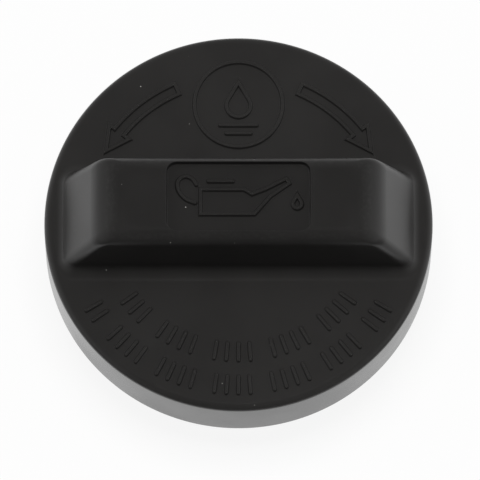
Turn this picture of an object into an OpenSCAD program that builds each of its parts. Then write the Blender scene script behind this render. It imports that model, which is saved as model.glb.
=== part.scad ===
// Oil filler cap with a bar grip, a bayonet plug and a flat gasket.
// The origin is on the axis in the sealing plane, the lower face of the gasket; the grip bar lies along X.

/* [Cover] */
// Outside diameter of the cover
cover_d = 64; // [62:0.5:70]
// Height of the skirt, from the top face down to its lower edge
skirt_h = 12.2; // [11.5:0.1:13]
// Thickness of the skirt wall
skirt_t = 2.3; // [1.8:0.1:2.6]
// Thickness of the round top wall
top_t = 2.4; // [1.8:0.1:3]
// Rounding between the top face and the skirt
shoulder_r = 1.2; // [0.6:0.1:1.4]
// Rounding of the skirt's lower outer edge
edge_r = 0.5; // [0.2:0.1:0.9]

/* [Grip bar] */
// Height of the bar above the top face
bar_h = 14.2; // [12:0.1:16]
// Width of the bar's flat top
bar_flat_w = 9.7; // [9.4:0.1:11]
// Distance from the bar's foot to the edge of the cover
bar_margin = 1.8; // [1.6:0.1:3]
// Slope of the two end ramps, in degrees from level
end_slope = 65; // [60:1:70]
// Slope of the long sides, in degrees from level
side_slope = 87; // [84:0.5:88]
// Rounding between the flat top and an end ramp
end_r = 6.3; // [3:0.1:7]
// Rounding along the long top edges
side_r = 2.6; // [1:0.1:2.7]
// Rounding of the four corners in plan
corner_r = 1.8; // [0.8:0.1:2.4]
// Fillet between an end ramp and the top face
end_foot_r = 1.6; // [0.6:0.1:1.9]
// Fillet between a long side and the top face
side_foot_r = 2.2; // [1:0.1:2.4]
// Wall of the hollow bar, at the sides and the ends
bar_wall = 2.2; // [1.8:0.1:2.8]
// Wall left between the recess floor and the hollow
recess_floor_t = 1.8; // [1.4:0.1:2.6]
// Number of stiffening ribs across the hollow
bar_ribs = 4; // [2:1:6]
// Thickness of one stiffening rib
bar_rib_t = 1.6; // [1.2:0.1:2.2]

/* [Recess] */
// Length of the sunk field in the bar's top
recess_l = 23.5; // [22.5:0.1:26]
// Width of the sunk field
recess_w = 11.8; // [11:0.1:12]
// How far the field is set towards the back edge
recess_shift = 0.4; // [0.2:0.1:0.5]
// Depth of the field
recess_depth = 1.7; // [1:0.1:2]
// Corner radius of the field
recess_r = 1.7; // [1:0.1:2.5]

/* [Raised marks] */
// Width of a raised line at its crest
line_w = 0.45; // [0.35:0.05:0.6]
// Height of a raised line
line_h = 0.5; // [0.2:0.05:0.6]
// How far a line's flank spreads out on each side
line_flank = 0.2; // [0.1:0.05:0.3]
// Distance from the cover's edge in to the middle of the two turning arrows
arrow_margin = 7; // [6.5:0.1:8]
// Width of an arrow's shaft, between its two long lines
arrow_w = 1.9; // [1.5:0.1:2.4]
// Radius of the ring at the back of the cover
badge_r = 7.3; // [6.6:0.1:7.4]
// Distance from the cover's edge in to that ring's centre
badge_margin = 11.8; // [11.4:0.1:12.2]
// How far the oil can is set from the field's middle towards the back
can_shift = 0.6; // [0:0.1:1]
// Radius of the drop inside the ring
drop_r = 2; // [1.5:0.1:2.4]
// Distance from the cover's edge in to the middle of the outer row of bars
row_outer_margin = 4.2; // [4:0.1:4.8]
// Distance from the cover's edge in to the middle of the inner row
row_inner_margin = 9.8; // [9:0.1:10.2]
// Length of a bar in both rows
tick_l = 2.8; // [2.2:0.1:3]
// Distance between neighbouring bars along a row
tick_pitch = 1.9; // [1.6:0.1:2.6]
// Angle that the outer row covers, centred on the front
row_outer_span = 124; // [90:2:128]
// Angle that the inner row covers
row_inner_span = 112; // [80:2:114]

/* [Plug] */
// Room between the skirt and the pilot, which takes the wall of the neck
neck_room = 7.7; // [7.2:0.1:8.2]
// Length of the pilot below the sealing plane
pilot_l = 5; // [4:0.1:6]
// Lead-in chamfer under the pilot
pilot_chamfer = 0.8; // [0.4:0.1:1.2]
// Step from the pilot in to the tube below it
tube_step = 2.3; // [2:0.1:2.7]
// Wall of that tube
tube_t = 2.2; // [1.8:0.1:2.8]
// Length of the plug below the sealing plane
plug_l = 18; // [16:0.5:22]
// Thickness of the flange, which closes the hollow bar
flange_t = 2.4; // [1.8:0.1:3]
// Thickness of the crossed ribs under the flange
cross_t = 1.8; // [1.4:0.1:2.4]
// Depth of those ribs below the flange
cross_h = 5; // [3:0.5:6]

/* [Bayonet] */
// Angle that one lug covers
lug_span = 52; // [40:2:60]
// How far the lugs stand back from the pilot's radius
lug_setback = 0.4; // [0.3:0.1:0.6]
// Thickness of a lug at its thick end
lug_t = 3.6; // [3:0.1:4]
// Gap between the pilot and the top of a lug, which takes the neck's ledge
lug_gap = 2.6; // [2:0.1:3]
// Fall of a lug's upper face from one end to the other
lug_fall = 1; // [0.6:0.1:1.4]
// Chamfer of a lug's lower outer edge
lug_chamfer = 0.8; // [0.4:0.1:1.2]

/* [Gasket] */
// Thickness of the gasket
gasket_t = 3; // [2.4:0.1:3.4]
// Room between the gasket and the catches
gasket_room = 1.8; // [1:0.1:2.5]
// Depth of the two grooves in its sealing face
groove_depth = 0.5; // [0.3:0.1:0.8]
// Width of one groove
groove_w = 0.8; // [0.5:0.1:1]
// Chamfer of the gasket's edges
gasket_chamfer = 0.6; // [0.5:0.1:0.8]

/* [Fits] */
// Clearance between the flange's rim and the skirt
flange_clear = 0.3; // [0.2:0.05:0.4]
// How far a catch reaches in under the flange's rim
catch_reach = 0.4; // [0.3:0.05:0.6]
// Height of a catch at its tip
catch_tip_h = 0.5; // [0.3:0.1:0.8]
// Height of a catch at the skirt
catch_root_h = 2; // [1.4:0.1:2.6]
// Number of catches, and of driving ribs
catch_count = 6; // [3:1:8]
// Angle that one catch covers
catch_span = 14; // [8:1:18]
// Width of a driving rib on the skirt
key_w = 4.6; // [3:0.1:5]
// How far a driving rib stands in from the skirt
key_depth = 1.5; // [1:0.1:1.8]
// Clearance around a driving rib in its notch
key_clear = 0.2; // [0.1:0.05:0.3]
// Step from the pilot in to the groove that holds the gasket
seat_step = 0.4; // [0.3:0.05:0.5]
// Clearance between that groove and the gasket
gasket_clear = 0.1; // [0.05:0.05:0.15]

/* [Hidden] */
$fn = 96;

// What an added shape sinks into its carrier, and what a cut runs past its surface
sink = 0.3;
over = 1;

// Heights above the sealing plane
flange_z = gasket_t;
under_z = flange_z + flange_t;
face_z = under_z + top_t;
skirt_z = face_z - skirt_h;
bar_z = face_z + bar_h;
floor_z = bar_z - recess_depth;
hollow_z = floor_z - recess_floor_t;
lug_z = -pilot_l - lug_gap;

// Radii
cover_r = cover_d / 2;
inner_r = cover_r - skirt_t;
flange_r = inner_r - flange_clear;
catch_tip_r = flange_r - catch_reach;
pilot_r = inner_r - neck_room;
seat_r = pilot_r - seat_step;
tube_r = pilot_r - tube_step;
bore_r = tube_r - tube_t;
lug_r = pilot_r - lug_setback;
gasket_r = catch_tip_r - gasket_room;
gasket_in_r = seat_r + gasket_clear;
arrow_r = cover_r - arrow_margin;
badge_y = cover_r - badge_margin;
row_outer_r = cover_r - row_outer_margin;
row_inner_r = cover_r - row_inner_margin;

// Half sizes of the bar where its ramps and sides would meet the top face without a fillet
foot_x = cover_r - bar_margin - end_foot_r * tan(end_slope / 2);
flat_x = foot_x - bar_h / tan(end_slope) - end_r * tan(end_slope / 2);
flat_y = bar_flat_w / 2;
foot_y = flat_y + side_r * tan(side_slope / 2) + bar_h / tan(side_slope);

// Levels of the bar's skin from the flat top to the foot, close together where it curves, and two in the wall
corner_steps = 8;
top_steps = 8;
foot_steps = 5;
root_levels = [-0.05, -0.6];
top_drop = max(end_r * (1 - cos(end_slope)), side_r * (1 - cos(side_slope)));
foot_rise = max(end_foot_r * (1 - cos(end_slope)), side_foot_r * (1 - cos(side_slope)));
bar_levels = concat(
    [for (i = [0:top_steps]) bar_h - top_drop * pow(i / top_steps, 2)],
    [for (i = [0:foot_steps - 1]) foot_rise * pow(1 - i / foot_steps, 2)],
    root_levels
);

// How far a flank has run out at height z: a round edge, a straight slope, then a hollow fillet
function run_out(z, r_top, slope, r_foot) =
    let (
        drop = bar_h - z,
        round_drop = r_top * (1 - cos(slope)),
        fillet_rise = r_foot * (1 - cos(slope)),
        straight = r_top * sin(slope) + (bar_h - fillet_rise - round_drop) / tan(slope)
    )
    drop <= round_drop ? sqrt(pow(r_top, 2) - pow(r_top - drop, 2))
    : z >= fillet_rise ? r_top * sin(slope) + (drop - round_drop) / tan(slope)
    : straight + r_foot * sin(slope) - sqrt(pow(r_foot, 2) - pow(r_foot - max(z, 0), 2));

// One level outline of the bar: a rectangle with round corners, which widen in the fillet
function bar_ring(z) =
    let (
        side = run_out(z, side_r, side_slope, side_foot_r),
        r = corner_r + max(0, flat_y + side - foot_y),
        x = flat_x + run_out(z, end_r, end_slope, end_foot_r) - r,
        y = flat_y + side - r
    )
    [
        for (quarter = [0:3])
        for (i = [0:corner_steps])
        let (a = 90 * (quarter + i / corner_steps))
        [
            (quarter == 0 || quarter == 3 ? x : -x) + r * cos(a),
            (quarter < 2 ? y : -y) + r * sin(a),
            z
        ]
    ];

// Triangles between rings of n points each, for rings listed from the top down
function ring_faces(n, rings) = [
    for (j = [0:rings - 2])
    for (i = [0:n - 1])
    let (a = j * n + i, b = j * n + (i + 1) % n)
    each [[a, b, b + n], [a, b + n, a + n]]
];

module bar_skin() {
    n = 4 * (corner_steps + 1);
    rings = len(bar_levels);
    top = [for (i = [0:n - 1]) n - 1 - i];
    bottom = [for (i = [0:n - 1]) (rings - 1) * n + i];
    polyhedron(
        points = [for (z = bar_levels) each bar_ring(z)],
        faces = concat([top], ring_faces(n, rings), [bottom]),
        convexity = 4
    );
}

// Raised lines: a flat crest with sloping flanks, mitred at the corners of its path
line_sink = 0.1;
function unit(v) = v / norm(v);
function left_of(v) = [-v.y, v.x];
function polar(r, a) = [r * cos(a), r * sin(a)];
function arc(r, a0, a1, steps, c = [0, 0]) =
    [for (i = [0:steps]) c + polar(r, a0 + (a1 - a0) * i / steps)];
function ring(r, steps = 48) = arc(r, 0, 360 - 360 / steps, steps - 1);

// A drop: its tip lies two radii up, so its straight sides touch the round part at 30 and 150 degrees
function drop_outline(r, c) = concat(arc(r, 150, 390, 12, c), [c + [0, 2 * r]]);

module raised_line(path, closed = false) {
    n = len(path);
    spread = line_flank * (line_h + line_sink) / line_h;
    points = [
        for (i = [0:n - 1])
        let (
            first = !closed && i == 0,
            last = !closed && i == n - 1,
            before = unit(path[first ? 0 : i] - path[first ? 1 : (i + n - 1) % n]) * (first ? -1 : 1),
            after = last ? before : unit(path[(i + 1) % n] - path[i]),
            mitre = (left_of(before) + left_of(after)) / (1 + before * after),
            end = (first ? -1 : last ? 1 : 0) * spread * after,
            low = path[i] + end,
            foot = (line_w / 2 + spread) * mitre,
            crest = line_w / 2 * mitre
        )
        each [
            [low.x + foot.x, low.y + foot.y, -line_sink],
            [path[i].x + crest.x, path[i].y + crest.y, line_h],
            [path[i].x - crest.x, path[i].y - crest.y, line_h],
            [low.x - foot.x, low.y - foot.y, -line_sink]
        ]
    ];
    sides = [
        for (i = [0:n - (closed ? 1 : 2)])
        for (k = [0:3])
        let (a = 4 * i + k, b = 4 * i + (k + 1) % 4, c = (a + 4) % (4 * n), d = (b + 4) % (4 * n))
        each [[a, c, d], [a, d, b]]
    ];
    caps = closed ? [] : [[0, 1, 2, 3], [4 * n - 1, 4 * n - 2, 4 * n - 3, 4 * n - 4]];
    polyhedron(points = points, faces = concat(sides, caps), convexity = 6);
}

// A turning arrow in outline, running clockwise through the quarter at the right
arrow_tail = 66;
arrow_neck = 38;
arrow_tip = 29;
arrow_flare = 1.1;
module turning_arrow() {
    r0 = arrow_r - arrow_w / 2;
    r1 = arrow_r + arrow_w / 2;
    raised_line(concat(
        arc(r0, arrow_tail, arrow_neck, 8),
        [polar(r0 - arrow_flare, arrow_neck), polar(arrow_r, arrow_tip), polar(r1 + arrow_flare, arrow_neck)],
        arc(r1, arrow_neck, arrow_tail, 8)
    ), closed = true);
}

// A ring with a drop of oil above two level lines, each given as its height and half length
badge_drop_y = -0.2;
badge_lines = [[-3.6, 3], [-5, 2]];
module oil_badge() {
    translate([0, badge_y, 0]) {
        raised_line(ring(badge_r), closed = true);
        raised_line(drop_outline(drop_r, [0, badge_drop_y]), closed = true);
        for (line = badge_lines)
            raised_line([[-line[1], line[0]], [line[1], line[0]]]);
    }
}

// A row of short radial bars, centred on the front, with one place in each group left empty
tick_group = 5;
module tick_row(r, span) {
    half = floor(span / 2 * PI / 180 * r / tick_pitch);
    step = tick_pitch / r * 180 / PI;
    for (i = [-half:half])
        if ((i + tick_group * half) % tick_group != 2)
            rotate([0, 0, 270 + i * step])
                raised_line([[r - tick_l / 2, 0], [r + tick_l / 2, 0]]);
}

// The oil can in the sunk field, in millimetres from its own middle
can_body = [
    [-6.2, -3.3], [2.6, -3.3], [5.2, -0.3], [8.3, 1.9], [7.8, 2.7],
    [4.3, 0.9], [2.2, 0.1], [0.9, 0.9], [-6.2, 0.9]
];
can_handle = [[-7.1, -1.4], [-8.6, -0.8], [-9.8, 0.7], [-9.9, 2.2], [-8.8, 3], [-7.6, 2.6], [-6.9, 1.7]];
can_lid = [[-4.9, 2.3], [-0.9, 2.3]];
can_drop_r = 0.75;
can_drop_at = [9.6, -1.6];
module oil_can() {
    raised_line(can_body, closed = true);
    raised_line(can_handle);
    raised_line(can_lid);
    raised_line(drop_outline(can_drop_r, can_drop_at), closed = true);
}

module sunk_field() {
    x = recess_l / 2 - recess_r;
    y = recess_w / 2 - recess_r;
    h = recess_depth + over;
    translate([0, recess_shift, floor_z]) {
        translate([-recess_l / 2, -y, 0]) cube([recess_l, 2 * y, h]);
        translate([-x, -recess_w / 2, 0]) cube([2 * x, recess_w, h]);
        for (sx = [-1, 1])
            for (sy = [-1, 1])
                translate([sx * x, sy * y, 0]) cylinder(r = recess_r, h = h);
    }
}

// The hollow in the bar, open below: a drafted block cut into cells by the ribs
function hollow_section(half_foot, slope) =
    let (
        half = half_foot - bar_wall / sin(slope),
        top = half - (hollow_z - face_z) / tan(slope),
        low = half + (top_t + over) / tan(slope)
    )
    [[-low, under_z - over], [low, under_z - over], [top, hollow_z], [-top, hollow_z]];

module bar_hollow() {
    cell = 2 * foot_x / (bar_ribs + 1);
    difference() {
        intersection() {
            rotate([90, 0, 0])
                linear_extrude(cover_d, center = true)
                    polygon(hollow_section(foot_x, end_slope));
            rotate([90, 0, 90])
                linear_extrude(cover_d, center = true)
                    polygon(hollow_section(foot_y, side_slope));
        }
        for (i = [1:bar_ribs])
            translate([-foot_x + i * cell - bar_rib_t / 2, -cover_r, under_z])
                cube([bar_rib_t, cover_d, bar_z]);
    }
}

module cup_blank() {
    rotate_extrude() {
        difference() {
            translate([0, skirt_z]) square([cover_r, skirt_h]);
            translate([-over, skirt_z - over]) square([inner_r + over, under_z - skirt_z + over]);
            translate([cover_r - shoulder_r, face_z - shoulder_r])
                difference() {
                    square(shoulder_r + over);
                    circle(r = shoulder_r);
                }
            translate([cover_r - edge_r, skirt_z + edge_r])
                difference() {
                    translate([0, -edge_r - over]) square(edge_r + over);
                    circle(r = edge_r);
                }
        }
    }
}

// Catches that hold the flange's rim from below, one between each pair of driving ribs
module catches() {
    for (i = [0:catch_count - 1])
        rotate([0, 0, (i + 0.5) * 360 / catch_count - catch_span / 2])
            rotate_extrude(angle = catch_span)
                polygon([
                    [inner_r + sink, flange_z],
                    [catch_tip_r, flange_z],
                    [catch_tip_r, flange_z - catch_tip_h],
                    [inner_r, flange_z - catch_root_h],
                    [inner_r + sink, flange_z - catch_root_h]
                ]);
}

// Ribs that turn the plug with the cover; the plug's notches are cut with a clearance around them
module driving_ribs(clear = 0) {
    for (i = [0:catch_count - 1])
        rotate([0, 0, i * 360 / catch_count])
            translate([inner_r - key_depth - clear, -key_w / 2 - clear, flange_z - clear])
                cube([key_depth + clear + sink, key_w + 2 * clear, flange_t + clear + sink]);
}

module cover_shell() {
    color([0.13, 0.13, 0.13])
        union() {
            difference() {
                union() {
                    cup_blank();
                    translate([0, 0, face_z]) bar_skin();
                }
                bar_hollow();
                sunk_field();
            }
            translate([0, recess_shift + can_shift, floor_z]) oil_can();
            translate([0, 0, face_z]) {
                turning_arrow();
                mirror([1, 0, 0]) turning_arrow();
                oil_badge();
                tick_row(row_outer_r, row_outer_span);
                tick_row(row_inner_r, row_inner_span);
            }
            catches();
            driving_ribs();
        }
}

// A lug is a sector of a ring whose upper face falls away towards its leading end
module lug() {
    tilt = atan(lug_fall / (lug_span * PI / 180 * lug_r));
    difference() {
        rotate([0, 0, -lug_span / 2])
            rotate_extrude(angle = lug_span)
                polygon([
                    [tube_r - sink, lug_z],
                    [lug_r, lug_z],
                    [lug_r, lug_z - lug_t + lug_chamfer],
                    [lug_r - lug_chamfer, lug_z - lug_t],
                    [tube_r - sink, lug_z - lug_t]
                ]);
        translate([0, 0, lug_z - lug_fall / 2])
            rotate([tilt, 0, 0])
                translate([0, -cover_r, 0]) cube([cover_r, cover_d, lug_t]);
    }
}

module closure_plug() {
    color([0.17, 0.17, 0.17])
        difference() {
            union() {
                difference() {
                    translate([0, 0, flange_z]) cylinder(r = flange_r, h = flange_t);
                    driving_ribs(key_clear);
                }
                translate([0, 0, -over]) cylinder(r = seat_r, h = flange_z + 2 * over);
                translate([0, 0, -pilot_l]) cylinder(r = pilot_r, h = pilot_l);
                translate([0, 0, -pilot_l - pilot_chamfer])
                    cylinder(r1 = pilot_r - pilot_chamfer, r2 = pilot_r, h = pilot_chamfer);
                translate([0, 0, -plug_l]) cylinder(r = tube_r, h = plug_l);
                for (a = [0, 180])
                    rotate([0, 0, a]) lug();
            }
            difference() {
                translate([0, 0, -plug_l - over]) cylinder(r = bore_r, h = plug_l + over + flange_z);
                for (a = [45, 135])
                    rotate([0, 0, a])
                        translate([-tube_r, -cross_t / 2, flange_z - cross_h])
                            cube([2 * tube_r, cross_t, cross_h + over]);
            }
        }
}

module neck_gasket() {
    mid = (gasket_in_r + gasket_r) / 2;
    color([0.09, 0.09, 0.09])
        rotate_extrude()
            difference() {
                polygon([
                    [gasket_in_r, gasket_chamfer],
                    [gasket_in_r + gasket_chamfer, 0],
                    [gasket_r - gasket_chamfer, 0],
                    [gasket_r, gasket_chamfer],
                    [gasket_r, gasket_t],
                    [gasket_in_r, gasket_t]
                ]);
                for (r = [mid - groove_w, mid + groove_w])
                    translate([r - groove_w / 2, -over]) square([groove_w, groove_depth + over]);
            }
}

cover_shell();
closure_plug();
neck_gasket();
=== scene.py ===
"""Oil filler cap with a bar grip: the looks of its three pieces, a pale floor, soft light and the camera.

Sizes are in millimetres until a mesh is made, and the room's are in metres. +Z is up through the grip, +X
runs along the bar, +Y is the back of the cover, and the origin lies in the plane where the gasket meets
the filler neck.
"""
import math

import bmesh
import bpy
import numpy as np
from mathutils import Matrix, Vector


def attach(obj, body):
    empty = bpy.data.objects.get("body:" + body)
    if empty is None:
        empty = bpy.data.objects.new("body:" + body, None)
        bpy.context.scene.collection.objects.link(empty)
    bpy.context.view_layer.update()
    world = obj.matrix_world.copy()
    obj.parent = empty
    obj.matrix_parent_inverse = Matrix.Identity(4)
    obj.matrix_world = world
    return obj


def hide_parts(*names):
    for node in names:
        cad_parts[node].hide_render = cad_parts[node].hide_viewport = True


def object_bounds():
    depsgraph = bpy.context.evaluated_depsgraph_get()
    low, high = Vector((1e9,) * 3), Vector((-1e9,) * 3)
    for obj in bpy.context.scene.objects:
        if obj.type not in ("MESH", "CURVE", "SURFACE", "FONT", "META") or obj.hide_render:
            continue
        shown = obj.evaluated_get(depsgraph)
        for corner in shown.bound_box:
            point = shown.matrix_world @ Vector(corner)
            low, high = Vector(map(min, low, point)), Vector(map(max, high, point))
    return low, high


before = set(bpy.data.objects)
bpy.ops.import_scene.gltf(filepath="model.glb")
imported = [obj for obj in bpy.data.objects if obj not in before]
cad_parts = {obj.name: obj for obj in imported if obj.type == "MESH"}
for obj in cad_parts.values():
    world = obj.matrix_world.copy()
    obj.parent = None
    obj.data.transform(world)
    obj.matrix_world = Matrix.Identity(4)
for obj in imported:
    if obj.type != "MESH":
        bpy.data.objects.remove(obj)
cad_box = [list(corner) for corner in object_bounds()]

# Cover, its outer skin. One moulding in black glass-filled nylon: a round top with a rolled shoulder and a
# plain skirt, and the raised hollow bar that the hand turns. The mould was blasted on top and polished on
# the skirt.
MM = 0.001
cover_r = 32.0
shoulder_r = 1.2
skirt_h = 12.2
skirt_t = 2.3
edge_r = 0.5
edge_chamfer = 0.15
face_z = 7.8
under_z = 5.4
bar_h = 14.2
bar_margin = 1.8
flat_y = 4.85
side_r, side_slope, side_foot_r = 2.6, math.radians(87), 2.2
end_r, end_slope, end_foot_r = 6.3, math.radians(65), 1.6
corner_r = 1.8
recess_half = (11.75, 5.9)
recess_shift = 0.4
recess_depth = 1.7
recess_corner = 1.7
recess_rim_r = 0.14
recess_floor_r = 0.25
recess_draft = 0.03

foot_x = cover_r - bar_margin - end_foot_r * math.tan(end_slope / 2)
flat_x = foot_x - bar_h / math.tan(end_slope) - end_r * math.tan(end_slope / 2)
foot_y = flat_y + side_r * math.tan(side_slope / 2) + bar_h / math.tan(side_slope)
floor_z = bar_h - recess_depth
face_edge = cover_r - shoulder_r
inner_r = cover_r - skirt_t


def run_out(z, top_r, slope, foot_r):
    """How far a flank stands out at height z: a circle's arc at the top edge, then a straight slope, then
    the arc of a hollow fillet whose lowest point lies level with the face."""
    drop = bar_h - z
    round_drop = top_r * (1 - math.cos(slope))
    fillet_rise = foot_r * (1 - math.cos(slope))
    at_slope = top_r * math.sin(slope) + (drop - round_drop) / math.tan(slope)
    at_fillet = top_r * math.sin(slope) + (bar_h - fillet_rise - round_drop) / math.tan(slope)
    round_part = np.sqrt(np.maximum(top_r**2 - (top_r - drop) ** 2, 0))
    hollow = np.sqrt(np.maximum(foot_r**2 - (foot_r - z) ** 2, 0))
    hollow_part = at_fillet + foot_r * math.sin(slope) - hollow
    return np.where(drop <= round_drop, round_part, np.where(z >= fillet_rise, at_slope, hollow_part))


def bar_size(z):
    """Half length, half width and corner radius of the bar's level outline at height z. The radius grows
    by as much as the side's fillet stands out past its slope."""
    half_x = flat_x + run_out(z, end_r, end_slope, end_foot_r)
    half_y = flat_y + run_out(z, side_r, side_slope, side_foot_r)
    return half_x, half_y, corner_r + np.maximum(0, half_y - foot_y)


def bar_height(x, y, halvings=30):
    """Height of the bar's skin over a point: the level whose rounded rectangle passes through it, found by
    halving the range of heights again and again."""
    low, high = np.zeros_like(x), np.full_like(x, bar_h)
    for _ in range(halvings):
        z = (low + high) / 2
        half_x, half_y, r = bar_size(z)
        past_x, past_y = np.abs(x) - half_x + r, np.abs(y) - half_y + r
        round_corner = np.hypot(np.maximum(past_x, 0), np.maximum(past_y, 0))
        outside = round_corner + np.minimum(np.maximum(past_x, past_y), 0) > r
        low, high = np.where(outside, low, z), np.where(outside, z, high)
    return high


# A ring goes once round the bar. Each of its points belongs to a corner's centre, given as a share of the
# half sizes, and stands off from it in a direction of its own
corner_points, long_points, short_points = 20, 170, 44
corner_turn = np.linspace(0, 90, corner_points)
long_step = np.linspace(1, -1, long_points + 2)[1:-1]
short_step = np.linspace(1, -1, short_points + 2)[1:-1]
one_c, one_l, one_s = np.ones(corner_points), np.ones(long_points), np.ones(short_points)
ring_x = np.concatenate([one_c, long_step, -one_c, -one_s, -one_c, -long_step, one_c, one_s])
ring_y = np.concatenate([one_c, one_l, one_c, short_step, -one_c, -one_l, -one_c, -short_step])
ring_turn = np.radians(np.concatenate([
    corner_turn, 90 * one_l, 90 + corner_turn, 180 * one_s,
    180 + corner_turn, 270 * one_l, 270 + corner_turn, 360 * one_s,
]))


def outline(half_x, half_y, r):
    """Rounded rectangle as one ring of points: the corner centres stand in by r from the half sizes, and
    each point adds r in its own direction. Arrays of sizes give one ring for each."""
    half_x, half_y, r = (np.atleast_1d(v)[:, None] for v in np.broadcast_arrays(half_x, half_y, r))
    return (half_x - r) * ring_x + r * np.cos(ring_turn), (half_y - r) * ring_y + r * np.sin(ring_turn)


def recess_outline(inset):
    """The sunk field's outline, taken in by inset on all sides."""
    half_x, half_y = recess_half
    x, y = outline(half_x - inset, half_y - inset, recess_corner - inset)
    return x, y + recess_shift


def rings(x, y, z):
    """Rings of points as one array of ring, point and coordinate."""
    return np.stack(np.broadcast_arrays(x, y, z), -1)


# The sunk field, from its floor up its wall and over its rim
field_rings = 7
quarter = np.radians(np.linspace(0, 90, field_rings))
x, y = recess_outline(recess_draft + recess_floor_r * (1 - np.sin(quarter)))
field = rings(x, y, (floor_z + recess_floor_r * (1 - np.cos(quarter)))[:, None])
x, y = recess_outline(-recess_rim_r * (1 - np.cos(quarter)))
rim = rings(x, y, bar_height(x, y) - recess_rim_r * (1 - np.sin(quarter))[:, None])

# The bar's crown, whose rings pass from the field's outline to the bar's and crowd together there
crown_drop, crown_rings, crown_power = 0.6, 18, 1.7
share = (1 - (1 - np.linspace(0, 1, crown_rings)[1:]) ** crown_power)[:, None]
crown_x, crown_y = outline(*bar_size(np.array([bar_h - crown_drop])))
x = rim[-1, :, 0] * (1 - share) + crown_x * share
y = rim[-1, :, 1] * (1 - share) + crown_y * share
crown = rings(x, y, bar_height(x, y))

# The bar's flanks, with their rings close together on the rounded edge and in the fillet
edge_rings, slope_rings, foot_rings = 20, 9, 19
edge_drop = end_r * (1 - math.cos(end_slope))
foot_rise = side_foot_r * (1 - math.cos(side_slope))
flank_z = np.concatenate([
    bar_h - np.linspace(math.sqrt(crown_drop), math.sqrt(edge_drop), edge_rings)[1:] ** 2,
    np.linspace(bar_h - edge_drop, foot_rise, slope_rings)[1:],
    foot_rise * (1 - np.linspace(0, 1, foot_rings)[1:]) ** 2,
])
flank = rings(*outline(*bar_size(flank_z)), flank_z[:, None])

# The level face, from the bar's foot out to the shoulder
foot = flank[-1]
around = np.arctan2(foot[:, 1], foot[:, 0])
share = np.array([0.004, 0.04, 0.15, 0.3, 0.45, 0.6, 0.75, 0.9, 0.985])[:, None]
face = rings(
    foot[:, 0] * (1 - share) + face_edge * np.cos(around) * share,
    foot[:, 1] * (1 - share) + face_edge * np.sin(around) * share,
    0.0,
)


def lathe(radius, height):
    """Rings of a turned profile, one for each pair of radius and height, at the angles of the bar's foot."""
    return rings(np.outer(radius, np.cos(around)), np.outer(radius, np.sin(around)), height[:, None])


# The shoulder, the skirt, its rounded lower edge and its inner wall, down from the face's level
shoulder_rings, wall_rings, hem_rings = 15, 6, 8
shoulder_turn = np.radians(np.linspace(0, 90, shoulder_rings))
edge_turn = np.radians(np.linspace(0, 90, hem_rings))
edge_z = edge_r - skirt_h
skirt_profile = np.concatenate([
    np.stack([face_edge + shoulder_r * np.sin(shoulder_turn), shoulder_r * (np.cos(shoulder_turn) - 1)], 1),
    [[cover_r, z] for z in np.linspace(-shoulder_r, edge_z, wall_rings)[1:-1]],
    np.stack([cover_r - edge_r * (1 - np.cos(edge_turn)), edge_z - edge_r * np.sin(edge_turn)], 1),
    [[inner_r + edge_chamfer, -skirt_h], [inner_r, edge_chamfer - skirt_h], [inner_r, under_z - face_z]],
])
skin = np.concatenate([field, rim, crown, flank, face, lathe(*skirt_profile.T)])
skin[..., 2] += face_z


def grid_faces(rows, columns, close_rows=False):
    """Quads between neighbouring rows of points. Columns always close on themselves, and rows where
    asked."""
    down = np.arange(rows if close_rows else rows - 1)[:, None]
    here = np.arange(columns)[None, :]
    after, below = (here + 1) % columns, (down + 1) % rows
    corners = np.broadcast_arrays(
        down * columns + here, below * columns + here, below * columns + after, down * columns + after
    )
    return np.stack(corners, -1).reshape(-1, 4)


def capped(grid):
    """A shell from a grid of rings: its points, and its faces, which are the quads between the rings and
    one flat face over the first ring and over the last."""
    rows, columns = grid.shape[:2]
    number = np.arange(rows * columns).reshape(rows, columns)
    return grid.reshape(-1, 3), [grid_faces(rows, columns), np.stack([number[0], number[-1, ::-1]])]


shells = [capped(skin)]

# Cover, inside the skirt. Six catches snap under the plug's flange and six square ribs turn it. They
# belong to the same moulding, reach a little way into its wall, and only the view from below shows them.
flange_z, flange_t = 3.0, 2.4
wall_bite = 0.3
catch_count, catch_span, catch_d, catch_h, catch_lip = 6, 14, 0.7, 2.0, 0.5
rib_count, rib_w, rib_d, rib_gap = 6, 4.6, 1.5, 0.05
rib_span = math.degrees(rib_w / (inner_r - rib_d / 2))
catch_profile = [
    [inner_r + wall_bite, flange_z], [inner_r - catch_d, flange_z], [inner_r - catch_d, flange_z - catch_lip],
    [inner_r, flange_z - catch_h], [inner_r + wall_bite, flange_z - catch_h],
]
rib_profile = [
    [inner_r + wall_bite, flange_z + rib_gap], [inner_r - rib_d, flange_z + rib_gap],
    [inner_r - rib_d, flange_z + flange_t], [inner_r + wall_bite, flange_z + flange_t],
]


def sector(profile, middle, span, steps=12):
    """A closed profile of radius and height, turned through an angle about the axis and shut at both
    ends."""
    angle = np.radians(middle + np.linspace(-0.5, 0.5, steps) * span)[:, None]
    radius, height = np.asarray(profile, float).T
    return capped(rings(radius * np.cos(angle), radius * np.sin(angle), height))


shells += [sector(catch_profile, (i + 0.5) * 360 / catch_count, catch_span) for i in range(catch_count)]
shells += [sector(rib_profile, i * 360 / rib_count, rib_span) for i in range(rib_count)]

# Cover, the raised marks. Fine lines engraved in the mould stand up from the face and from the sunk field:
# a ring with a drop of oil, two turning arrows, two rows of short bars round the front, and an oil can.
line_h, line_pitch = 0.5, 0.35

# Half of a line's section, from its buried middle out to its foot and up a soft flank to its crown
line_half = np.array([0.0, 0.44, 0.44, 0.40, 0.365, 0.335, 0.30, 0.265, 0.235, 0.19, 0.10, 0.0])
line_rise = line_h * np.array([-0.08, -0.08, 0.0, 0.04, 0.17, 0.37, 0.63, 0.81, 0.93, 0.985, 1.0, 1.0])


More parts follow.
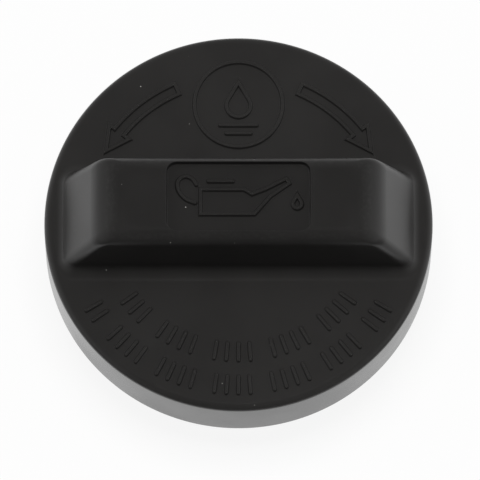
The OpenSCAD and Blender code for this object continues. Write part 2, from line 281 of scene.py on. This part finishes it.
def polar(r, degrees):
    """A point, or a row of points, at that radius and angle."""
    a = np.radians(degrees)
    return np.stack(np.broadcast_arrays(r * np.cos(a), r * np.sin(a)), -1)


def arc(r, start, end, centre=(0, 0), least=6):
    """Points along a circle's arc, about one line pitch apart, in the least number of steps or more."""
    count = max(least, int(abs(math.radians(end - start)) * r / line_pitch))
    return polar(r, np.linspace(start, end, count + 1)) + np.asarray(centre)


def mitres(path, closed):
    """Unit offset to the left at each point, and the direction ahead. The offset is the sum of both
    neighbours' left normals over one plus their dot product, so the two edges that meet there keep their
    distance."""
    ahead = np.diff(path, axis=0, append=path[:1])
    ahead /= np.maximum(np.linalg.norm(ahead, axis=1, keepdims=True), 1e-9)
    behind = np.roll(ahead, 1, axis=0)
    if not closed:
        ahead[-1], behind[0] = ahead[-2], ahead[0]
    left = np.stack([-ahead[:, 1] - behind[:, 1], ahead[:, 0] + behind[:, 0]], 1)
    return left / (1 + (ahead * behind).sum(1, keepdims=True)), ahead


def raised_line(path, level, closed, cap_points=7):
    """A soft-edged line along a path. A closed line carries the whole section round. An open one carries
    half of it up one side, round the end and back down the other side, so that its ends are round too."""
    path = np.asarray(path, float)
    left, ahead = mitres(path, closed)
    half, rise = line_half, line_rise
    if closed:
        half = np.concatenate([line_half[1:], -line_half[-2:0:-1]])
        rise = np.concatenate([line_rise[1:], line_rise[-2:0:-1]])
    else:
        bend = np.radians(np.linspace(90, -90, cap_points + 2))[1:-1, None]
        end_cap = np.cos(bend) * ahead[-1] + np.sin(bend) * left[-1]
        start_cap = -np.cos(bend) * ahead[0] - np.sin(bend) * left[0]
        left = np.concatenate([left, end_cap, -left[::-1], start_cap])
        path = np.concatenate([
            path, np.repeat(path[-1:], cap_points, 0), path[::-1], np.repeat(path[:1], cap_points, 0)
        ])
    spread = path + half[:, None, None] * left
    grid = rings(spread[..., 0], spread[..., 1], rise[:, None] + level)
    return grid.reshape(-1, 3), [grid_faces(*grid.shape[:2], close_rows=closed)]


def drop_outline(r, centre):
    """A drop: two thirds of a circle whose straight sides meet two radii above its middle."""
    return np.concatenate([arc(r, 150, 390, centre), [np.asarray(centre) + [0, 2 * r]]])


def rounded(path, rounds=3):
    """Rounds off an open path: in each round every point gives way to two, a quarter of the way to its
    neighbours, and both ends stay."""
    for _ in range(rounds):
        near, far = 0.75 * path[:-1] + 0.25 * path[1:], 0.25 * path[:-1] + 0.75 * path[1:]
        path = np.concatenate([path[:1], np.stack([near, far], 1).reshape(-1, 2), path[-1:]])
    return path


arrow_r, arrow_half, arrow_flare = 25.0, 0.95, 1.1
arrow_tail, arrow_neck, arrow_tip = 66, 38, 29
arrow = np.concatenate([
    arc(arrow_r - arrow_half, arrow_tail, arrow_neck),
    [
        polar(arrow_r - arrow_half - arrow_flare, arrow_neck),
        polar(arrow_r, arrow_tip),
        polar(arrow_r + arrow_half + arrow_flare, arrow_neck),
    ],
    arc(arrow_r + arrow_half, arrow_neck, arrow_tail),
])
badge_y, badge_r = 20.2, 7.3
badge_drop_r, badge_drop_y = 2.0, badge_y - 0.2
level_lines = ((3, badge_y - 3.6), (2, badge_y - 5.0))
marks = [
    (arrow, True),
    ((arrow * [-1, 1])[::-1], True),
    (arc(badge_r, 0, 360, (0, badge_y))[:-1], True),
    (drop_outline(badge_drop_r, (0, badge_drop_y)), True),
]
marks += [([[-half, y], [half, y]], False) for half, y in level_lines]

# The short bars stand in groups of four, with every fifth place of a row left empty
short_rows = ((27.8, 124), (22.2, 112))
short_half, short_pitch, group, empty = 1.4, 1.9, 5, 2
for row_r, row_span in short_rows:
    last = int(math.radians(row_span / 2) * row_r / short_pitch)
    for i in range(-last, last + 1):
        if i % group != empty:
            angle = 270 + math.degrees(i * short_pitch / row_r)
            marks.append((polar(np.array([row_r - short_half, row_r + short_half]), angle), False))
shells += [raised_line(path, face_z, closed) for path, closed in marks]

can_shift = 0.6
can_body = [
    (-6.2, -3.3), (2.6, -3.3), (5.2, -0.3), (8.3, 1.9), (7.8, 2.7), (4.3, 0.9), (2.2, 0.1), (0.9, 0.9),
    (-6.2, 0.9),
]
can_handle = rounded(np.array([
    (-7.1, -1.4), (-8.6, -0.9), (-9.9, 0.6), (-10.1, 2.3), (-8.8, 3.25), (-7.5, 2.75), (-6.9, 1.7)
]))
can_lid = [(-4.9, 2.3), (-0.9, 2.3)]
can_drop = drop_outline(0.75, (9.6, -1.6))
for path, closed in ((can_body, True), (can_handle, False), (can_lid, False), (can_drop, True)):
    in_field = np.asarray(path, float) + [0, recess_shift + can_shift]
    shells.append(raised_line(in_field, face_z + floor_z, closed))

faces, start = [], 0
for points, blocks in shells:
    for block in blocks:
        faces += (block + start).tolist()
    start += len(points)
cover_mesh = bpy.data.meshes.new("cover")
cover_mesh.from_pydata((np.concatenate([points for points, _ in shells]) * MM).tolist(), [], faces)
moulding = bmesh.new()
moulding.from_mesh(cover_mesh)
bmesh.ops.remove_doubles(moulding, verts=moulding.verts, dist=1e-7)
bmesh.ops.recalc_face_normals(moulding, faces=moulding.faces)
moulding.to_mesh(cover_mesh)
moulding.free()
cover_mesh.shade_smooth()
cover_mesh.set_sharp_from_angle(angle=math.radians(40))
cover = bpy.data.objects.new("cover", cover_mesh)
bpy.context.collection.objects.link(cover)
even = cover.modifiers.new("even_shading", "WEIGHTED_NORMAL")
even.weight = 90
even.keep_sharp = True
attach(cover, "root")
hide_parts("cover_shell")

# Cover, its finish. The blasted top scatters its reflection and the polished skirt is sharper. Handling has
# rubbed the grip's edges and the shoulder. The bar is painted darker than the face and skirt below it, a
# painted shade for how the light falls on them. The ramps' feet are painted a lighter grey, a painted
# reflection of the ramps' bright ends running down into the crease. A few specks of dust lie all over.
# The nylon's two tones, mixed by random mottle and by the bar's painted shade
dark_nylon, light_nylon = (0.0158, 0.0151, 0.0146), (0.0246, 0.0237, 0.0229)
# Lighter grey for the rubbed edges, also used for the painted reflection at the ramps' feet
rubbed_and_glow_nylon = (0.046, 0.045, 0.044)
dust_grey = (0.42, 0.41, 0.39)
top_rough, skirt_shine, rubbed_shine, dust_rough = 0.345, 0.14, 0.06, 0.4


class Signal:
    """A socket in a node tree, with arithmetic that adds Math nodes."""

    def __init__(self, tree, socket):
        self.tree, self.socket = tree, socket

    def node(self, kind, values=(), output=0, **settings):
        """Adds any node: its settings first, then a value or a link for each input that is named or
        numbered."""
        made = self.tree.nodes.new(kind)
        for name, setting in settings.items():
            setattr(made, name, setting)
        for key, value in dict(values).items():
            if isinstance(value, Signal):
                self.tree.links.new(value.socket, made.inputs[key])
            else:
                made.inputs[key].default_value = value
        return Signal(self.tree, made.outputs[output])

    def beside(self, output):
        """Another output of the node that this signal comes from."""
        return Signal(self.tree, self.socket.node.outputs[output])

    def maths(self, operation, *values):
        """The result of a Math node on these values."""
        return self.node("ShaderNodeMath", enumerate(values), operation=operation)

    def __add__(self, other):
        return self.maths("ADD", self, other)

    def __sub__(self, other):
        return self.maths("SUBTRACT", self, other)

    def __rsub__(self, other):
        return self.maths("SUBTRACT", other, self)

    def __mul__(self, other):
        return self.maths("MULTIPLY", self, other)

    __radd__, __rmul__ = __add__, __mul__

    def step(self, start, end):
        """Rises smoothly from 0 to 1 as the signal goes from start to end."""
        return self.node("ShaderNodeMapRange", {0: self, 1: start, 2: end}, interpolation_type="SMOOTHSTEP")

    def band(self, rise, fall):
        """Rises smoothly to 1 over the first range and falls back to 0 over the second."""
        return self.step(*rise) * (1 - self.step(*fall))

    def noise(self, scale, detail=2.0, roughness=0.5):
        """Noise on this signal's coordinates, mostly between 0.3 and 0.7."""
        values = {"Vector": self, "Scale": scale, "Detail": detail, "Roughness": roughness}
        return self.node("ShaderNodeTexNoise", values)

    def axes(self):
        """The three parts of a vector."""
        parts = self.node("ShaderNodeSeparateXYZ", {0: self})
        return parts, parts.beside(1), parts.beside(2)

    def mixed(self, low, high):
        """A colour between two others, by this signal. Each is a signal or red, green and blue."""
        low, high = (c if isinstance(c, Signal) else (*c, 1) for c in (low, high))
        return self.node("ShaderNodeMix", {0: self, 6: low, 7: high}, output=2, data_type="RGBA")


def new_material(name):
    """A Principled material, its shader node, and its Object coordinates."""
    material = bpy.data.materials.new(name)
    material.use_nodes = True
    tree = material.node_tree
    place = tree.nodes.new("ShaderNodeTexCoord")
    return material, tree.nodes["Principled BSDF"], Signal(tree, place.outputs["Object"])


def feed(node, name, signal):
    """Links a signal to one of a node's sockets."""
    signal.tree.links.new(signal.socket, node.inputs[name])


def grain(shader, height, distance):
    """Links a height to the shader's Normal through a Bump node."""
    feed(shader, "Normal", height.node("ShaderNodeBump", {"Height": height, "Distance": distance}))


nylon, shader, place = new_material("black_nylon")
along, across, height = (part * (1 / MM) for part in place.axes())
above = height - face_z
on_skirt = 1 - above.step(-1.3, -0.5)
# Painted shade: from 1 mm above the face upwards the bar takes the darker nylon tone, standing in for how the
# light falls on it
bar_painted_darker = above.step(1, 9)
mottle = place.noise(90, 3.0).step(0.36, 0.64)
cloud = place.noise(28, 1.0).step(0.35, 0.65)
fine = place.noise(3800, 2.0, 0.6)
# Tone: random mottle and cloud, plus painted shade that keeps the face and skirt lighter than the bar
mottle_and_painted_shade = 0.3 * mottle + 0.2 * cloud + 0.5 * (1 - bar_painted_darker)

grip_edge = above.band((bar_h - 1.1, bar_h - 0.7), (bar_h - 0.3, bar_h))
shoulder = above.band((-1.0, -0.6), (-0.3, 0))
scuffs = place.noise(1700, 4.0, 0.7).step(0.42, 0.66)
rubbed = (grip_edge + 0.7 * shoulder) * scuffs
# Painted reflection: the ramps' feet are lifted towards a lighter grey, standing in for the ramps' bright
# glow running into the dark crease
ramp_foot = above.band((0.4, 0.9), (1.1, 2.0)) * (along * along).step(26.5**2, 28**2)
painted_foot_glow = ramp_foot * (1 - (across * across).step(8**2, 10.5**2))

cells = place.node("ShaderNodeTexVoronoi", {"Vector": place, "Scale": 380})
chance = cells.node("ShaderNodeSeparateColor", {0: cells.beside("Color")})
dust = (1 - cells.step(0.022, 0.045)) * chance.step(0.70, 0.72)

# Base colour: random tone with the bar's painted shade, rubbed edges, and the ramps' feet painted lighter as
# a painted reflection
wear_and_painted_light = (0.22 * rubbed + 0.6 * painted_foot_glow).mixed(mottle_and_painted_shade.mixed(dark_nylon, light_nylon), rubbed_and_glow_nylon)
feed(shader, "Base Color", dust.mixed(wear_and_painted_light, dust_grey))
uneven = 0.05 * mottle + 0.03 * (fine - 0.5)
feed(shader, "Roughness",
     top_rough + uneven - skirt_shine * on_skirt - rubbed_shine * rubbed + dust_rough * dust)
shader.inputs["IOR"].default_value = 1.53
grain(shader, fine * (1 - 0.8 * on_skirt), 0.012 * MM)
cover_mesh.materials.append(nylon)

# Plug. A second moulding in the same nylon, dull because nobody sees it: the flange that closes the hollow
# bar, the pilot for the neck's bore, the open tube, and the two lugs that turn under the neck's ledges.
# Long fibres show along the tube.
dark_plug, light_plug = (0.020, 0.0195, 0.019), (0.033, 0.032, 0.031)
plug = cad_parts["closure_plug"]
plug_nylon, shader, place = new_material("plug_nylon")
upright = place.node("ShaderNodeMapping", {"Vector": place, "Scale": (1, 1, 0.35)})
fibres = upright.noise(1400, 4.0, 0.65)
blush = place.noise(45, 2.0).step(0.35, 0.65)
fine = place.noise(4200, 2.0, 0.6)
feed(shader, "Base Color", (0.5 * fibres.step(0.35, 0.65) + 0.5 * blush).mixed(dark_plug, light_plug))
feed(shader, "Roughness", 0.44 + 0.08 * blush + 0.05 * fibres)
shader.inputs["IOR"].default_value = 1.5
grain(shader, 0.7 * fine + 0.3 * fibres, 0.01 * MM)
plug.data.materials.clear()
plug.data.materials.append(plug_nylon)

# Gasket. A flat ring of black nitrile rubber, moulded, and stretched over the groove above the pilot. Its
# face carries a light bloom, and the talc of new rubber lies in its two grooves.
dark_rubber, bloomed_rubber = (0.013, 0.013, 0.013), (0.034, 0.033, 0.032)
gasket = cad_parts["neck_gasket"]
rubber, shader, place = new_material("nitrile_rubber")
height = place.axes()[2] * (1 / MM)
in_groove = height.band((0.1, 0.4), (0.5, 0.8))
bloom = place.noise(160, 4.0, 0.6).step(0.4, 0.7)
fine = place.noise(5200, 3.0, 0.6)
feed(shader, "Base Color", (0.55 * bloom + 0.45 * in_groove).mixed(dark_rubber, bloomed_rubber))
feed(shader, "Roughness", 0.58 + 0.12 * bloom + 0.06 * (fine - 0.5))
shader.inputs["IOR"].default_value = 1.5
grain(shader, fine, 0.012 * MM)
gasket.data.materials.clear()
gasket.data.materials.append(rubber)

# Floor. A white sheet, white to the lens. In the cap's reflections it is darker far in front, beside the
# bar's front corners, in a soft band at either side, and far behind. A share of plain diffuse white keeps
# the cap's shadow on it.
floor_half, floor_gap = 2.0, 0.02 * MM
paper_dark, paper_light = (0.80, 0.80, 0.80), (0.84, 0.84, 0.84)
lens_glow, lens_share = 1.02, 0.88
floor_level = cad_box[0][2] - floor_gap
floor_corners = [
    (x * floor_half, y * floor_half, floor_level) for x, y in ((-1, -1), (1, -1), (1, 1), (-1, 1))
]
floor_mesh = bpy.data.meshes.new("floor")
floor_mesh.from_pydata(floor_corners, [], [(0, 1, 2, 3)])
floor = bpy.data.objects.new("floor", floor_mesh)
bpy.context.collection.objects.link(floor)
paper, shader, place = new_material("white_floor")
feed(shader, "Base Color", place.noise(8, 2.0).mixed(paper_dark, paper_light))
shader.inputs["Roughness"].default_value = 0.9
side, depth = (part * (1 / MM) for part in place.axes()[:2])
aside = side * side
in_front = 1 - depth.step(-85, -55)
behind = depth.step(50, 120)
left_corner = (0 - side).step(45, 65) * (1 - depth.step(-60, 0))
right_corner = side.step(45, 65) * (1 - depth.step(-50, 15))
soft_band = aside.band((60**2, 72**2), (80**2, 105**2))
lit_part = (1 - 0.93 * in_front) * (1 - 0.45 * behind) * (1 - 0.24 * soft_band)
lit_part *= 1 - 0.65 * left_corner - 0.85 * right_corner
to_lens = place.node("ShaderNodeLightPath", output="Is Camera Ray")
mirrored = to_lens.beside("Is Glossy Ray") + to_lens.beside("Is Transmission Ray")
glow = lens_glow * to_lens + mirrored * lit_part
lit = place.node("ShaderNodeEmission", {"Color": glow, "Strength": 1.0})
plain = Signal(paper.node_tree, shader.outputs[0])
mix = place.node("ShaderNodeMixShader", {0: lens_share * to_lens + mirrored, 1: plain, 2: lit})
feed(paper.node_tree.nodes["Material Output"], "Surface", mix)
floor_mesh.materials.append(paper)

# Light. A soft sheet overhead that only scatters, and a room that is dim above, lighter near its left,
# right and back walls, which is what the bar's rounded ends mirror, and a little lighter low on the right.
sheet = bpy.data.lights.new("overhead", "AREA")
sheet.shape = "RECTANGLE"
sheet.size, sheet.size_y = 0.34, 0.3
sheet.energy = 6.4
overhead = bpy.data.objects.new("overhead", sheet)
bpy.context.collection.objects.link(overhead)
overhead.location = (0.0, 0.02, 0.9)
overhead.rotation_euler = overhead.location.to_track_quat("Z", "Y").to_euler()
overhead.visible_glossy = False

dim, side_walls, back_wall, low_right = 0.06, 0.42, 0.16, 0.2
room = bpy.data.worlds.new("room")
room.use_nodes = True
tree = room.node_tree
direction = Signal(tree, tree.nodes.new("ShaderNodeTexCoord").outputs["Generated"])
side, depth, up = direction.axes()
walls = dim + side_walls * (side * side).step(0.05, 0.9) + back_wall * depth.step(0, 1)
walls += low_right * side.step(0.5, 0.95) * (1 - (up * up).step(0, 0.06))
to_lens = direction.node("ShaderNodeLightPath", output="Is Camera Ray")
backdrop = tree.nodes["Background"]
backdrop.inputs["Color"].default_value = (1, 1, 1, 1)
feed(backdrop, "Strength", to_lens + (1 - to_lens) * walls)
bpy.context.scene.world = room

# Camera. It looks down at 74 degrees from the front through a long lens, 1.5 m away, so that the cover
# spans nearly 389 of the picture's 480 pixels and lies a little above the picture's middle.
elevation = math.radians(74)
distance = 1.5
picture_px, cover_px = 480, 388.7
aim_right_px, aim_down_px = 1.5, 17.9
pixel = 2 * cover_r * MM / cover_px
up_axis = Vector((0, math.sin(elevation), math.cos(elevation)))
back_axis = Vector((0, -math.cos(elevation), math.sin(elevation)))
aim = Vector((aim_right_px * pixel, 0, face_z * MM)) - aim_down_px * pixel * up_axis
lens = bpy.data.cameras.new("camera")
lens.lens = lens.sensor_width * distance / (picture_px * pixel)
lens.clip_end = 10
camera = bpy.data.objects.new("camera", lens)
camera.location = aim + distance * back_axis
camera.rotation_euler = back_axis.to_track_quat("Z", "Y").to_euler()
bpy.context.collection.objects.link(camera)
bpy.context.scene.camera = camera
bpy.context.scene.view_settings.view_transform = "Standard"
